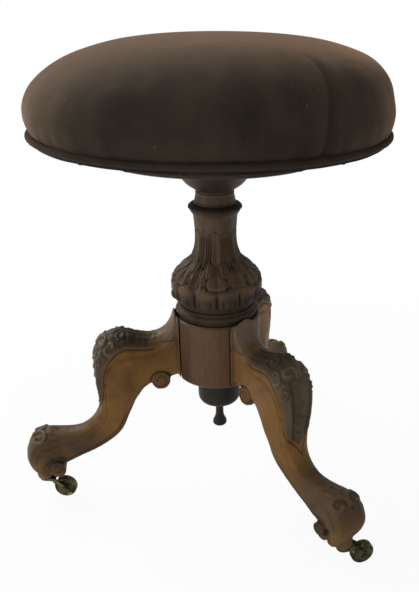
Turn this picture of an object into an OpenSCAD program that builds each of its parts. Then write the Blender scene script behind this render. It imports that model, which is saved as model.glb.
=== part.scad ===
// Revolving piano stool: an upholstered round seat on a steel screw,
// a carved walnut pillar and three cabriole legs on brass castors.

/* [Seat] */
// Radius of the round seat board
board_r = 163; // [150:1:175]
// Thickness of the seat board
board_t = 16; // [13:0.5:20]
// Radius of the welt cord under the cushion's edge
welt_r = 3.4; // [2:0.1:4.5]
// Height of the cushion above the seat board
cushion_h = 80; // [60:1:92]
// How far the cushion swells past the board
cushion_swell = 5.7; // [4:0.1:9]
// Radius of the turned disc under the board
disc_r = 113.5; // [95:0.5:125]
// Thickness of the turned disc
disc_t = 10; // [8:0.5:13]
// Height of the flared boss that carries the seat
boss_h = 35; // [32:1:46]
// Radius of the boss where it meets the disc
boss_top_r = 62; // [56:1:75]
// Thickness of the black bottoming cloth
bottoming_t = 1; // [0.8:0.1:1.6]

/* [Screw] */
// Radius of the steel screw that the seat turns on
screw_r = 9.5; // [8:0.25:11]
// Height that the seat rises when it is wound up
rise = 70; // [50:1:75]
// Length of the iron nut in the pillar's top
nut_l = 42; // [34:1:48]
// Wall of the nut's sleeve
nut_wall = 3.5; // [3:0.25:4]
// Thickness of the leather washer between pillar and seat
washer_t = 2; // [1.5:0.1:3]
// Radius of the iron plate at the screw's head
plate_r = 48; // [40:1:58]
// Thickness of the iron plate
plate_t = 4; // [3:0.25:5]

/* [Pillar] */
// Height of the carved pillar above the hub
pillar_h = 129; // [120:1:140]
// Radius of the gadrooned bulb
bulb_r = 47.5; // [44:0.5:50]
// Radius of the neck above the bulb
neck_r = 21.5; // [20:0.25:23]
// Radius of the ring under the pillar's top
ring_r = 27; // [24.5:0.25:28]
// Number of gadroons round the bulb
gadroons = 12; // [8:1:16]
// Depth of the valleys between the gadroons
gadroon_depth = 3.4; // [1.5:0.1:4]

/* [Hub] */
// Radius of the hub that the legs join
hub_r = 45; // [42:0.5:48]
// Height of the hub
hub_h = 70; // [64:1:76]
// Height of the hub's underside above the floor
hub_z = 141.5; // [130:0.5:150]
// Radius of the turned drop under the hub
drop_r = 23; // [19:0.5:25]
// Height of the turned drop
drop_h = 43; // [36:1:50]
// Length of the drop's finial below it
finial_l = 29; // [23:1:34]

/* [Legs] */
// Reach of each leg from the stool's axis to the toe
leg_reach = 211; // [200:1:222]
// Thickness of a leg at the knee
leg_w = 36; // [32:0.5:40]
// Bearing of the right leg; the others follow every 120 degrees
leg_turn = -53; // [-60:1:-45]
// Depth of the dovetail that holds a leg in the hub
dovetail_d = 12; // [9:0.5:14]
// Radius of the scroll under the knee
knee_scroll_r = 7; // [5.5:0.25:8.5]
// Radius of the roll under the toe
toe_roll_r = 7.5; // [6:0.25:8.5]

/* [Castors] */
// Radius of a castor wheel
wheel_r = 12; // [10:0.25:13]
// Width of a castor wheel
wheel_w = 9; // [7:0.25:11]
// Distance that a wheel trails behind its stem
trail = 21; // [19.5:0.5:24]
// Bearing that the right leg's wheel trails towards
trail_turn_right = 14; // [-180:1:180]
// Bearing that the left leg's wheel trails towards
trail_turn_left = -8; // [-180:1:180]
// Bearing that the back leg's wheel trails towards
trail_turn_back = 3; // [-180:1:180]
// Radius of a castor's top plate
castor_plate_r = 8.5; // [7.5:0.25:9]
// Thickness of a castor's top plate
castor_plate_t = 1.6; // [1.2:0.1:2]
// Radius of a castor's stem
stem_r = 2.5; // [2:0.1:3]
// Radius of a wheel's axle
axle_r = 1.8; // [1.4:0.1:2.2]

/* [Hidden] */

// Fits
run_gap = 0.05;      // round a turning shaft
joint_gap = 0.1;     // round a glued tenon
lay_gap = 0.1;       // between faces that slide on each other
cut_over = 1;        // how far a cut runs past a face
fine = 96;
round_fine = 48;

// Castor heights
horn_over = 2.2;
horn_t = 4;
horn_top = 2 * wheel_r + horn_over;
toe_h = horn_top + lay_gap + castor_plate_t;
horn_arm_t = 2.2;
horn_side_gap = 0.5;
horn_half = wheel_w / 2 + horn_side_gap + horn_arm_t;
horn_eye_r = 4;
rivet_lip = 1.2;
rivet_r = stem_r + rivet_lip;
rivet_t = 1.2;
spike_l = 16;

// Leg frame
leg_turns = [leg_turn, leg_turn - 120, leg_turn + 120];
trail_turns = [trail_turn_right, trail_turn_left, trail_turn_back];
stem_share = 0.928;
stem_reach = stem_share * leg_reach;
root_bite = 2.5;
root_over = 1;
root_r = hub_r - root_bite;
root_lap = 1;
root_seat = root_r - root_lap;
root_pad_t = 3;
root_pad_low_share = 0.617;
root_z = hub_z + hub_h + root_over;
leg_rise = root_z - toe_h;
tenon_neck = 11;
tenon_tail = 16;
tenon_head = 8;
toe_pad_lip = 0.6;
toe_pad_r = castor_plate_r + toe_pad_lip;
toe_pad_h = 12;

// Pillar heights
hub_top = hub_z + hub_h;
pillar_top = hub_top + pillar_h;
pillar_tenon_r = 16;
pillar_tenon_l = 30;
nut_sleeve_r = screw_r + nut_wall;
nut_flange_w = 3;
nut_flange_r = nut_sleeve_r + nut_flange_w;
nut_flange_t = 3;
well_gap = 1.2;
well_r = screw_r + well_gap;
well_over = 8;

// Seat heights
washer_z = pillar_top + lay_gap;
boss_z = washer_z + washer_t + lay_gap;
disc_z = boss_z + boss_h;
board_z = disc_z + disc_t;
cushion_z = board_z + board_t;
welt_z = cushion_z - welt_r - lay_gap;
screw_spare = 2; // how far the screw passes the nut when the seat is wound right up
screw_drop = rise + nut_l + screw_spare;
plate_screw_r = 2;
plate_screw_l = 22;
plate_screw_pcd_share = 0.72;

function catmull(a, b, c, d, t) = 0.5 * (2 * b + (c - a) * t
    + (2 * a - 5 * b + 4 * c - d) * t * t + (3 * b - a - 3 * c + d) * t * t * t);
// Curve through every point of a list, with n steps between two points.
function curve(p, n) = [for (i = [0:len(p) - 2], k = [0:n - 1])
        catmull(p[max(i - 1, 0)], p[i], p[i + 1], p[min(i + 2, len(p) - 1)], k / n),
    p[len(p) - 1]];

// Solid through a list of closed rings with equally many points.
module loft(rings) {
    m = len(rings[0]);
    n = len(rings);
    polyhedron(points = [for (r = rings) each r],
        faces = concat([[for (j = [0:m - 1]) j]],
            [for (i = [0:n - 2], j = [0:m - 1]) let (k = (j + 1) % m)
                each [[i * m + j, (i + 1) * m + j, (i + 1) * m + k],
                    [i * m + j, (i + 1) * m + k, i * m + k]]],
            [[for (j = [m - 1:-1:0]) (n - 1) * m + j]]), convexity = 8);
}

// Pillar outline from the hub's top up: [height share, radius]
foot_in = 4.5;
bead_in = 1.5;
bead_round = 1;
waist_in = 5;
foot_r = hub_r - foot_in;
bead_r = hub_r - bead_in;
waist_r = hub_r - waist_in;
throat_share = 0.89;
pillar_foot_shares = [[0, foot_r], [0.018, foot_r], [0.032, bead_r - bead_round], [0.047, bead_r],
    [0.062, bead_r - bead_round], [0.075, waist_r], [0.09, waist_r]];
vase_shares = [[0.075, 0.8 * bulb_r], [0.1, 0.82 * bulb_r], [0.13, 0.92 * bulb_r], [0.17, 0.985 * bulb_r],
    [0.23, bulb_r], [0.285, 0.99 * bulb_r], [0.325, 0.95 * bulb_r], [0.36, 0.89 * bulb_r],
    [0.408, 0.775 * bulb_r], [0.456, 0.605 * bulb_r], [0.508, 1.16 * neck_r], [0.56, 1.055 * neck_r],
    [0.64, 1.0 * neck_r], [0.72, 0.995 * neck_r], [0.8, 1.02 * neck_r], [0.87, 1.04 * neck_r]];
vase_cut_shares = [0, 0.1, 0.55, 0.9, 1, 1, 0.62, 1, 1, 0.9, 0.75, 0.6, 0.5, 0.42, 0.3, 0];
pillar_head_shares = [[0.85, 1.13 * neck_r], [0.862, 0.95 * ring_r], [0.878, 0.985 * ring_r],
    [0.896, ring_r], [0.914, 0.985 * ring_r], [0.93, 0.93 * ring_r], [0.936, 0.97 * neck_r],
    [0.955, 0.925 * neck_r], [0.98, throat_share * neck_r], [1, throat_share * neck_r]];

module turned(shares, h, z = 0) {
    translate([0, 0, z]) rotate_extrude($fn = fine)
        polygon(concat([[0, shares[0][0] * h]], [for (s = shares) [s[1], s[0] * h]],
            [[0, shares[len(shares) - 1][0] * h]]));
}

gadroon_steps = 4;
module vase() {
    outline = curve([for (i = [0:len(vase_shares) - 1])
        [vase_shares[i][1], vase_shares[i][0] * pillar_h, vase_cut_shares[i]]], 2);
    m = gadroons * gadroon_steps;
    loft([for (s = outline) [for (j = [0:m - 1]) let (a = 360 * j / m,
        r = s[0] - gadroon_depth * s[2] * (s[0] / bulb_r) * (1 - abs(sin(180 * j / gadroon_steps))))
        [r * cos(a), r * sin(a), s[1]]]]);
}

module pillar() {
    color("saddlebrown") difference() {
        union() {
            translate([0, 0, hub_top]) {
                turned(pillar_foot_shares, pillar_h);
                vase();
                turned(pillar_head_shares, pillar_h);
            }
            translate([0, 0, hub_top - pillar_tenon_l])
                cylinder(r = pillar_tenon_r, h = pillar_tenon_l + cut_over, $fn = fine);
        }
        translate([0, 0, pillar_top - nut_flange_t])
            cylinder(r = nut_flange_r + joint_gap, h = nut_flange_t + cut_over, $fn = fine);
        translate([0, 0, pillar_top - nut_l])
            cylinder(r = nut_sleeve_r + joint_gap, h = nut_l + cut_over, $fn = fine);
        translate([0, 0, boss_z - screw_drop - well_over])
            cylinder(r = well_r, h = screw_drop + well_over, $fn = fine);
    }
}

module nut() {
    color("dimgray") difference() {
        union() {
            translate([0, 0, pillar_top - nut_l])
                cylinder(r = nut_sleeve_r, h = nut_l, $fn = fine);
            translate([0, 0, pillar_top - nut_flange_t])
                cylinder(r = nut_flange_r, h = nut_flange_t, $fn = fine);
        }
        translate([0, 0, pillar_top - nut_l - cut_over])
            cylinder(r = screw_r + run_gap, h = nut_l + 2 * cut_over, $fn = fine);
    }
}

// Dovetail, seen from above, pointing in from a leg's root
module dovetail(gap, low, high) {
    translate([0, 0, low]) linear_extrude(high - low)
        polygon([[root_seat + root_lap / 2, -tenon_neck / 2 - gap],
            [root_seat + root_lap / 2, tenon_neck / 2 + gap],
            [root_seat - dovetail_d - gap, tenon_tail / 2 + gap],
            [root_seat - dovetail_d - gap, -tenon_tail / 2 - gap]]);
}

hub_edge = 1.6;
module hub() {
    color("sienna") difference() {
        rotate_extrude($fn = fine) polygon([[0, hub_z], [hub_r - hub_edge, hub_z],
            [hub_r, hub_z + hub_edge], [hub_r, hub_top - hub_edge],
            [hub_r - hub_edge, hub_top], [0, hub_top]]);
        translate([0, 0, hub_top - pillar_tenon_l - joint_gap])
            cylinder(r = pillar_tenon_r + joint_gap, h = pillar_tenon_l + joint_gap + cut_over, $fn = fine);
        translate([0, 0, hub_z - cut_over])
            cylinder(r = finial_pin_r + joint_gap, h = finial_pin_l + cut_over + joint_gap, $fn = fine);
        translate([0, 0, hub_z - cut_over])
            cylinder(r = drop_r + joint_gap, h = drop_let + cut_over, $fn = fine);
        for (a = leg_turns) rotate(a) {
            dovetail(joint_gap, hub_z - cut_over, root_z - tenon_head + joint_gap);
            translate([root_seat, -leg_w / 2 - joint_gap, hub_z - cut_over])
                cube([hub_r, leg_w + 2 * joint_gap, hub_h + 2 * cut_over]);
        }
    }
}

finial_pin_r = 4;
finial_pin_l = 24;
finial_neck_r = 4.4;
finial_knob_r = 7.8;
drop_wall_share = 0.5;
drop_let = 3; // how far the drop is let into the hub
module drop_boss() {
    color([0.12, 0.09, 0.08]) translate([0, 0, hub_z - drop_h]) difference() {
        rotate_extrude($fn = fine) polygon(concat([[0, 0]],
            curve([[0.42 * drop_r, 0], [0.58 * drop_r, 0.05 * drop_h], [0.85 * drop_r, 0.13 * drop_h],
                [0.97 * drop_r, 0.22 * drop_h], [drop_r, 0.33 * drop_h],
                [drop_r, drop_wall_share * drop_h]], 3),
            [[drop_r, drop_h + drop_let], [0, drop_h + drop_let]]));
        translate([0, 0, -cut_over])
            cylinder(r = finial_pin_r + joint_gap, h = drop_h + drop_let + 2 * cut_over, $fn = fine);
    }
}

module drop_finial() {
    color([0.12, 0.09, 0.08]) translate([0, 0, hub_z - drop_h - finial_l]) {
        rotate_extrude($fn = fine) polygon(concat([[0, 0]],
            curve([[0.62 * finial_knob_r, 0], [0.93 * finial_knob_r, 0.06 * finial_l],
                [finial_knob_r, 0.16 * finial_l], [0.86 * finial_knob_r, 0.27 * finial_l],
                [1.12 * finial_neck_r, 0.42 * finial_l], [finial_neck_r, 0.56 * finial_l],
                [finial_neck_r, 0.8 * finial_l], [1.35 * finial_neck_r, 0.93 * finial_l],
                [1.9 * finial_neck_r, finial_l]], 3), [[0, finial_l]]));
        cylinder(r = finial_pin_r, h = finial_l + drop_h + finial_pin_l, $fn = fine);
    }
}

// Leg stations from hub to toe, as shares of the reach and of the rise:
// [upper reach, upper height, lower reach, lower height, width]
leg_shares = [
    [0, 0.985, 0, 0.63, 0.8], [0.02, 1.02, 0.03, 0.625, 0.82], [0.035, 0.975, 0.07, 0.615, 0.83],
    [0.07, 0.92, 0.1, 0.61, 0.85], [0.13, 0.885, 0.135, 0.605, 0.88],
    [0.2, 0.88, 0.185, 0.59, 0.92], [0.27, 0.895, 0.235, 0.56, 0.98], [0.34, 0.915, 0.265, 0.525, 1.06],
    [0.415, 0.905, 0.29, 0.495, 1.13], [0.48, 0.87, 0.305, 0.465, 1.16], [0.515, 0.81, 0.32, 0.435, 1.14],
    [0.53, 0.735, 0.335, 0.405, 1.08], [0.53, 0.63, 0.35, 0.37, 1.01], [0.52, 0.54, 0.365, 0.335, 0.93],
    [0.52, 0.455, 0.39, 0.29, 0.82], [0.54, 0.4, 0.43, 0.245, 0.7], [0.58, 0.35, 0.495, 0.2, 0.64],
    [0.645, 0.31, 0.575, 0.16, 0.64], [0.725, 0.3, 0.65, 0.135, 0.7], [0.805, 0.305, 0.72, 0.11, 0.8],
    [0.88, 0.305, 0.765, 0.095, 0.92], [0.945, 0.28, 0.785, 0.085, 1.02], [0.98, 0.235, 0.8, 0.08, 1.06],
    [1, 0.165, 0.81, 0.08, 1.06], [0.985, 0.105, 0.825, 0.075, 1.02], [0.95, 0.055, 0.84, 0.05, 0.94],
    [0.92, 0.02, 0.865, 0.02, 0.84]];
// A leg's section: [share across the thickness, share of the half width]
section_shares = [[0, -0.6], [0, 0.6], [0.1, 0.93], [0.17, 1], [0.63, 1], [0.67, 0.88], [0.72, 1],
    [0.9, 0.9], [0.99, 0.55], [1.03, 0], [0.99, -0.55], [0.9, -0.9], [0.72, -1], [0.67, -0.88],
    [0.63, -1], [0.17, -1], [0.1, -0.93]];
knee_scroll_shares = [0.125, 0.585];
toe_roll_shares = [0.815, 0.055];
knee_scroll_w_share = 0.9;
toe_roll_w_share = 1.14;
scroll_eye_share = 0.45;
scroll_eye_out = 1.2;

function leg_x(s) = root_r + s * (leg_reach - root_r);
function leg_z(s) = toe_h + s * leg_rise;

module roll(at_shares, r, w) {
    translate([leg_x(at_shares[0]), 0, leg_z(at_shares[1])]) rotate([90, 0, 0]) {
        cylinder(r = r, h = w, center = true, $fn = round_fine);
        cylinder(r = r * scroll_eye_share, h = w + 2 * scroll_eye_out, center = true, $fn = round_fine);
    }
}

module leg() {
    stations = curve(leg_shares, 2);
    color("peru") difference() {
        union() {
            loft([for (s = stations) [for (q = section_shares)
                [leg_x(s[2] + (s[0] - s[2]) * q[0]), s[4] * q[1] * leg_w / 2,
                    leg_z(s[3] + (s[1] - s[3]) * q[0])]]]);
            dovetail(0, hub_z, root_z - tenon_head);
            translate([root_seat, -leg_w / 2, leg_z(root_pad_low_share)])
                cube([root_pad_t, leg_w, root_z - leg_z(root_pad_low_share)]);
            roll(knee_scroll_shares, knee_scroll_r, knee_scroll_w_share * leg_w);
            roll(toe_roll_shares, toe_roll_r, toe_roll_w_share * leg_w);
            translate([stem_reach, 0, toe_h])
                cylinder(r = toe_pad_r, h = toe_pad_h, $fn = round_fine);
        }
        translate([stem_reach, 0, toe_h - cut_over])
            cylinder(r = stem_r + joint_gap, h = spike_l + cut_over + joint_gap, $fn = round_fine);
    }
}

// Puts a castor's piece under one leg, its wheel trailing towards that castor's bearing.
module at_castor(i) {
    translate([stem_reach * cos(leg_turns[i]), stem_reach * sin(leg_turns[i]), 0])
        rotate(trail_turns[i]) children();
}

module castor_plate() {
    color("darkgoldenrod") {
        translate([0, 0, horn_top + lay_gap])
            cylinder(r = castor_plate_r, h = castor_plate_t, $fn = round_fine);
        translate([0, 0, horn_top - horn_t - lay_gap])
            cylinder(r = stem_r, h = horn_t + castor_plate_t + spike_l, $fn = round_fine);
        translate([0, 0, horn_top - horn_t - lay_gap - rivet_t])
            cylinder(r = rivet_r, h = rivet_t, $fn = round_fine);
    }
}

horn_hub_r = 6.6;
horn_bridge = 2.4;
horn_bridge_share = 0.42;
module castor_horn() {
    bridge_x = horn_bridge_share * trail;
    color("goldenrod") difference() {
        union() {
            hull() {
                translate([0, 0, horn_top - horn_t])
                    cylinder(r = horn_hub_r, h = horn_t, $fn = round_fine);
                translate([bridge_x, -horn_half, horn_top - horn_t])
                    cube([horn_bridge, 2 * horn_half, horn_t * 0.8]);
            }
            for (side = [-1, 1]) hull() {
                translate([bridge_x, (side > 0 ? horn_half - horn_arm_t : -horn_half), horn_top - horn_t])
                    cube([horn_bridge, horn_arm_t, horn_t * 0.8]);
                translate([trail, side * (horn_half - horn_arm_t / 2), wheel_r]) rotate([90, 0, 0])
                    cylinder(r = horn_eye_r, h = horn_arm_t, center = true, $fn = round_fine);
            }
        }
        translate([0, 0, horn_top - horn_t - cut_over])
            cylinder(r = stem_r + run_gap, h = horn_t + 2 * cut_over, $fn = round_fine);
        translate([trail, 0, wheel_r]) rotate([90, 0, 0])
            cylinder(r = axle_r + run_gap / 2, h = 2 * horn_half + 2 * cut_over, center = true,
                $fn = round_fine);
    }
}

axle_head = 0.8;
module castor_axle() {
    color("gray") translate([trail, 0, wheel_r]) rotate([90, 0, 0]) {
        cylinder(r = axle_r, h = 2 * horn_half + 2 * axle_head, center = true, $fn = round_fine);
        for (side = [-1, 1]) translate([0, 0, side * (horn_half + axle_head / 2)])
            cylinder(r = 1.5 * axle_r, h = axle_head, center = true, $fn = round_fine);
    }
}

wheel_dish = 1.2;
wheel_round = 1.8;
module castor_wheel() {
    bore = axle_r + run_gap;
    color("darkgoldenrod") translate([trail, 0, wheel_r]) rotate([90, 0, 0])
        rotate_extrude($fn = fine) polygon([[bore, -wheel_w / 2], [0.36 * wheel_r, -wheel_w / 2],
            [0.42 * wheel_r, -wheel_w / 2 + wheel_dish], [0.72 * wheel_r, -wheel_w / 2 + wheel_dish],
            [wheel_r - wheel_round, -wheel_w / 2],
            [wheel_r - 0.3 * wheel_round, -wheel_w / 2 + 0.45 * wheel_round],
            [wheel_r, -wheel_w / 2 + wheel_round], [wheel_r, wheel_w / 2 - wheel_round],
            [wheel_r - 0.3 * wheel_round, wheel_w / 2 - 0.45 * wheel_round],
            [wheel_r - wheel_round, wheel_w / 2],
            [0.72 * wheel_r, wheel_w / 2 - wheel_dish], [0.42 * wheel_r, wheel_w / 2 - wheel_dish],
            [0.36 * wheel_r, wheel_w / 2], [bore, wheel_w / 2]]);
}

washer_in = 0.6;
// Leather washer, trapped on the screw between the pillar and the seat
module washer() {
    color([0.25, 0.13, 0.08]) translate([0, 0, washer_z]) difference() {
        cylinder(r = throat_share * neck_r - washer_in, h = washer_t, $fn = fine);
        translate([0, 0, -cut_over])
            cylinder(r = screw_r + run_gap, h = washer_t + 2 * cut_over, $fn = fine);
    }
}

screw_tip = 2;
module screw() {
    color("silver") {
        translate([0, 0, boss_z - screw_drop]) {
            cylinder(r1 = screw_r - screw_tip, r2 = screw_r, h = screw_tip, $fn = fine);
            translate([0, 0, screw_tip])
                cylinder(r = screw_r, h = screw_drop + boss_h + disc_t - plate_t - screw_tip, $fn = fine);
        }
    }
}

module screw_plate() {
    color("dimgray") translate([0, 0, board_z - plate_t]) difference() {
        cylinder(r = plate_r, h = plate_t, $fn = fine);
        for (i = [0:2]) rotate(120 * i) translate([plate_screw_pcd_share * plate_r, 0, -cut_over])
            cylinder(r = plate_screw_r + joint_gap, h = plate_t + 2 * cut_over, $fn = round_fine);
        for (i = [0:2]) rotate(120 * i) translate([plate_screw_pcd_share * plate_r, 0, plate_t - plate_screw_r])
            cylinder(r1 = plate_screw_r + joint_gap, r2 = 2 * plate_screw_r + joint_gap,
                h = plate_screw_r + joint_gap / 2, $fn = round_fine);
    }
}

module plate_screw(i) {
    color("gray") rotate(120 * i)
        translate([plate_screw_pcd_share * plate_r, 0, board_z - plate_screw_l])
        rotate_extrude($fn = round_fine) polygon([[0, 0], [0.3 * plate_screw_r, 0],
            [plate_screw_r, 0.2 * plate_screw_l], [plate_screw_r, plate_screw_l - plate_screw_r],
            [2 * plate_screw_r, plate_screw_l], [0, plate_screw_l]]);
}

boss_low_share = 1.02;
module seat_boss() {
    low_r = throat_share * neck_r * boss_low_share;
    spread = boss_top_r - low_r;
    color("saddlebrown") translate([0, 0, boss_z]) difference() {
        rotate_extrude($fn = fine) polygon(concat([[0, 0]],
            curve([[low_r, 0], [low_r + 0.05 * spread, 0.05 * boss_h], [low_r + 0.2 * spread, 0.18 * boss_h],
                [low_r + 0.36 * spread, 0.4 * boss_h], [low_r + 0.56 * spread, 0.62 * boss_h],
                [low_r + 0.85 * spread, 0.82 * boss_h], [boss_top_r, 0.93 * boss_h]], 3),
            [[boss_top_r, boss_h + disc_t], [0, boss_h + disc_t]]));
        translate([0, 0, -cut_over])
            cylinder(r = screw_r + joint_gap, h = boss_h + disc_t + 2 * cut_over, $fn = fine);
        translate([0, 0, boss_h + disc_t - plate_t])
            cylinder(r = plate_r + joint_gap, h = plate_t + cut_over, $fn = fine);
        for (i = [0:2]) rotate(120 * i)
            translate([plate_screw_pcd_share * plate_r, 0, boss_h + disc_t - plate_screw_l - joint_gap])
                cylinder(r = plate_screw_r + joint_gap, h = plate_screw_l, $fn = round_fine);
    }
}

// Turned ring round the boss, under the board
module under_disc() {
    hole_r = boss_top_r + joint_gap;
    color("saddlebrown") translate([0, 0, disc_z]) rotate_extrude($fn = fine)
        polygon([[hole_r, 0], [disc_r - 0.35 * disc_t, 0], [disc_r - 0.1 * disc_t, 0.12 * disc_t],
            [disc_r, 0.36 * disc_t], [disc_r, disc_t], [hole_r, disc_t]]);
}

// The board's underside slopes up from its flat, which runs out past the disc, to its edge
flat_beyond = 16.9;
flat_r = disc_r + flat_beyond;
bevel_share = 0.46;
bottoming_edge = 0.5; // how far the cloth stops short of the board's edge
module seat_board() {
    color("burlywood") translate([0, 0, board_z]) rotate_extrude($fn = fine)
        polygon([[0, 0], [flat_r, 0], [board_r, bevel_share * board_t],
            [board_r, board_t], [0, board_t]]);
}

module bottoming() {
    edge_r = board_r - bottoming_edge;
    edge_z = bevel_share * board_t * (edge_r - flat_r) / (board_r - flat_r);
    color([0.08, 0.07, 0.07]) translate([0, 0, board_z]) rotate_extrude($fn = fine)
        polygon([[disc_r + joint_gap, -bottoming_t], [flat_r, -bottoming_t], [edge_r, edge_z - bottoming_t],
            [edge_r, edge_z], [flat_r, 0], [disc_r + joint_gap, 0]]);
}

module welt() {
    color([0.2, 0.13, 0.11]) translate([0, 0, welt_z]) rotate_extrude($fn = fine)
        translate([board_r + welt_r, 0]) circle(r = welt_r, $fn = round_fine);
}

// Crowned cushion with sides drawn in to the welt
cushion_shares = [[0.975, 0], [0.993, 0.03], [1, 0.14], [0.993, 0.33], [0.96, 0.52], [0.855, 0.715],
    [0.71, 0.845], [0.53, 0.94], [0.28, 0.99], [0, 1]];
module cushion() {
    r = board_r + cushion_swell;
    outline = curve([for (s = cushion_shares) [s[0] * r, s[1] * cushion_h]], 3);
    color([0.29, 0.19, 0.16]) translate([0, 0, cushion_z]) rotate_extrude($fn = fine)
        polygon(concat([[0, 0]], outline));
}

pillar();
hub();
drop_boss();
drop_finial();
nut();
rotate(leg_turns[0]) leg();  // leg_right
rotate(leg_turns[1]) leg();  // leg_left
rotate(leg_turns[2]) leg();  // leg_back
at_castor(0) castor_plate();  // castor_plate_right
at_castor(1) castor_plate();  // castor_plate_left
at_castor(2) castor_plate();  // castor_plate_back
at_castor(0) castor_horn();  // castor_horn_right
at_castor(1) castor_horn();  // castor_horn_left
at_castor(2) castor_horn();  // castor_horn_back
at_castor(0) castor_axle();  // castor_axle_right
at_castor(1) castor_axle();  // castor_axle_left
at_castor(2) castor_axle();  // castor_axle_back
at_castor(0) castor_wheel();  // castor_wheel_right
at_castor(1) castor_wheel();  // castor_wheel_left
at_castor(2) castor_wheel();  // castor_wheel_back
washer();
screw();
screw_plate();
plate_screw(0);  // plate_screw_1
plate_screw(1);  // plate_screw_2
plate_screw(2);  // plate_screw_3
seat_boss();
under_disc();
bottoming();
seat_board();
welt();
cushion();
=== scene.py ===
import bpy
import math
from mathutils import Matrix, Vector, noise


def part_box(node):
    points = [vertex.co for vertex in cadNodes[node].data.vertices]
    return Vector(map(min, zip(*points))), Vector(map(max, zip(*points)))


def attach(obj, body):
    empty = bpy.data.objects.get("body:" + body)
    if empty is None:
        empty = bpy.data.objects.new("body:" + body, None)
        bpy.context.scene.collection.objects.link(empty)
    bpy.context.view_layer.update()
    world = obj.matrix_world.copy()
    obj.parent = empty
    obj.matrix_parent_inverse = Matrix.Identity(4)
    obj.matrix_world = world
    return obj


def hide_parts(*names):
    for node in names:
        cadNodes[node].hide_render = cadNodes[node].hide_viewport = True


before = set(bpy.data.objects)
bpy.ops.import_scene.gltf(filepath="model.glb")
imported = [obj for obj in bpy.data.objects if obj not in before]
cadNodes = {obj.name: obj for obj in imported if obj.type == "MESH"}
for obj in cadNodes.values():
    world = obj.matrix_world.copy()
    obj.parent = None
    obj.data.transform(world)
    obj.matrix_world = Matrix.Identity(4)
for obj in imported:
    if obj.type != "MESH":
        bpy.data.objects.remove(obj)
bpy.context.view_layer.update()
legBearings = {"right": -53, "left": -173, "back": 67}  # degrees from +X, as in the record
print("frame loaded:", len(cadNodes), "nodes")


# Shader maths
def plug(tree, place, value):
    if isinstance(value, Wire):
        tree.links.new(value.socket, place)
    else:
        place.default_value = value


def combine(tree, operation, *values):
    node = tree.nodes.new("ShaderNodeMath")
    node.operation = operation
    for place, value in zip(node.inputs, values):
        plug(tree, place, value)
    return Wire(tree, node.outputs[0])


class Wire:  # a socket that Python's own operators combine
    def __init__(self, tree, socket):
        self.tree = tree
        self.socket = socket

    def __add__(self, other):
        return combine(self.tree, "ADD", self, other)

    def __sub__(self, other):
        return combine(self.tree, "SUBTRACT", self, other)

    def __rsub__(self, other):
        return combine(self.tree, "SUBTRACT", other, self)

    def __mul__(self, other):
        return combine(self.tree, "MULTIPLY", self, other)

    def does(self, operation, *others):
        return combine(self.tree, operation, self, *others)

    def between(self, low, high):  # 0 below low, 1 above high, smooth between
        node = self.tree.nodes.new("ShaderNodeMapRange")
        node.interpolation_type = "SMOOTHSTEP"
        plug(self.tree, node.inputs["Value"], self)
        plug(self.tree, node.inputs["From Min"], low)
        plug(self.tree, node.inputs["From Max"], high)
        return Wire(self.tree, node.outputs["Result"])


class Finish:  # one material while its nodes are laid
    def __init__(self, name, fixed):
        self.material = bpy.data.materials.new(name)
        self.material.use_nodes = True
        self.tree = self.material.node_tree
        self.shader = self.tree.nodes["Principled BSDF"]
        for socket, value in fixed.items():
            self.shader.inputs[socket].default_value = value

    def node(self, kind, settings, values, output=0):
        made = self.tree.nodes.new(kind)
        for key, value in settings.items():
            setattr(made, key, value)
        for key, value in values.items():
            plug(self.tree, made.inputs[key], value)
        return Wire(self.tree, made.outputs[output])

    def place(self, stretch=(1, 1, 1)):
        where = self.node("ShaderNodeTexCoord", {}, {}, "Object")
        return self.node("ShaderNodeMapping", {}, {"Vector": where, "Scale": stretch})

    def noise(self, vector, scale, detail=3, rough=0.5, distort=0):
        return self.node("ShaderNodeTexNoise", {}, {
            "Vector": vector, "Scale": scale, "Detail": detail,
            "Roughness": rough, "Distortion": distort})

    def mix(self, factor, first, second):
        made = self.tree.nodes.new("ShaderNodeMix")
        made.data_type = "RGBA"
        plug(self.tree, made.inputs[0], factor)
        plug(self.tree, made.inputs[6], first)
        plug(self.tree, made.inputs[7], second)
        return Wire(self.tree, made.outputs[2])

    def cavity(self, reach):  # 1 in the open, less in a recess; the finishes darken their colour by it, which paints shade into recesses
        return self.node("ShaderNodeAmbientOcclusion", {"samples": 6}, {"Distance": reach}, "AO")

    def attribute(self, name):
        return self.node("ShaderNodeAttribute", {"attribute_name": name}, {}, "Fac")

    def feed(self, socket, value):
        plug(self.tree, self.shader.inputs[socket], value)

    def bump(self, height, distance, strength=1.0):
        sockets = {"Strength": strength, "Distance": distance, "Height": height}
        self.feed("Normal", self.node("ShaderNodeBump", {}, sockets, "Normal"))


def colour(red, green, blue):
    return (red, green, blue, 1)


def tones(light, dark, dirtAndShade):
    return {"light": colour(*light), "dark": colour(*dark), "dirtAndShade": colour(*dirtAndShade)}


woods = {  # light and dark figure, and a dark colour that fills the pores as dirt and is laid into recesses as painted shade
    "walnut": tones((.165, .084, .036), (.066, .034, .018), (.016, .012, .008)),
    "golden": tones((.235, .112, .024), (.125, .058, .013), (.018, .012, .007)),
    # the drop's colour is ebonised wood darkened further for the shade under the seat, so partly
    # painted shade
    "ebonyAndShade": tones((.036, .030, .020), (.017, .014, .010), (.008, .008, .006)),
    "carving": tones((.122, .080, .043), (.058, .039, .023), (.013, .011, .008)),
    "smoky": tones((.140, .083, .045), (.058, .037, .023), (.016, .012, .009)),
    "dusky": tones((.062, .038, .023), (.030, .020, .013), (.010, .008, .006)),
    "pine": tones((.52, .37, .21), (.33, .21, .11), (.10, .07, .04)),
}


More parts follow.
